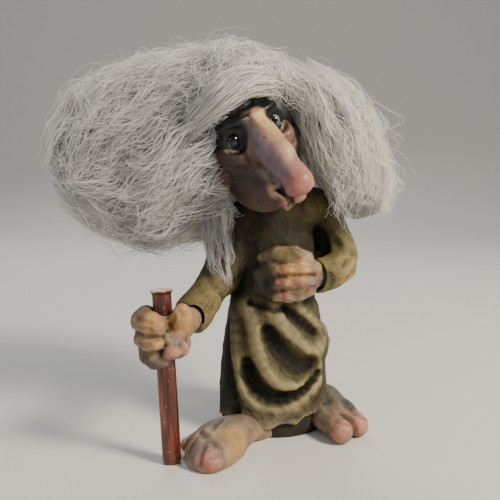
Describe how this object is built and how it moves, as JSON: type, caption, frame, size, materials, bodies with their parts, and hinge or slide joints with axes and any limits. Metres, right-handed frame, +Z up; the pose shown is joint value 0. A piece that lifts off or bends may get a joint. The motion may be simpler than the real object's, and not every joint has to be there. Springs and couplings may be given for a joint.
{
  "type": "folk troll figurine",
  "caption": "Hand-painted folk troll figurine with a long nose, wild wool hair, a rough robe and a loose walking stick held in its fist.",
  "frame": {"origin": "middle of the flat cast face under the body, on the surface the figure stands on", "axes": "+Z up, +X to the viewer's right (the figure's left), the robe's front faces -Y"},
  "size_m": [0.1631, 0.0971, 0.1837],
  "materials": {
    "robe": "hand-painted cast rubber, olive over dark, dry-brushed cream",
    "filling": "raw cast filling",
    "skin": "hand-painted cast rubber, flesh over grey-brown",
    "eye_glass": "clear glass dome",
    "eye_paint": "dark olive iris with a black pupil",
    "stick_bark": "varnished red-brown bark, pale cut end",
    "wool": "loose silver-grey wool"
  },
  "bodies": {
    "figure": {"robe": "robe", "body_filling": "filling", "right_sleeve": "robe", "left_sleeve": "robe", "right_hand": "skin", "left_hand": "skin", "head": "skin", "right_foot": "skin", "left_foot": "skin", "right_eye_lens": "eye_glass", "left_eye_lens": "eye_glass", "right_eye_backing": "eye_paint", "left_eye_backing": "eye_paint", "hair_crown": "wool", "hair_right_sweep": "wool", "hair_left_sweep": "wool", "hair_back": "wool", "hair_fringe": "wool", "hair_hanging_lock": "wool"},
    "stick": {"walking_stick": "stick_bark"}
  },
  "joints": [
    {"name": "stick_lift", "type": "slide", "parent": "figure", "child": "stick", "axis": [-0.0471, 0, 0.9989], "range_m": [0, 0.068]}
  ]
}
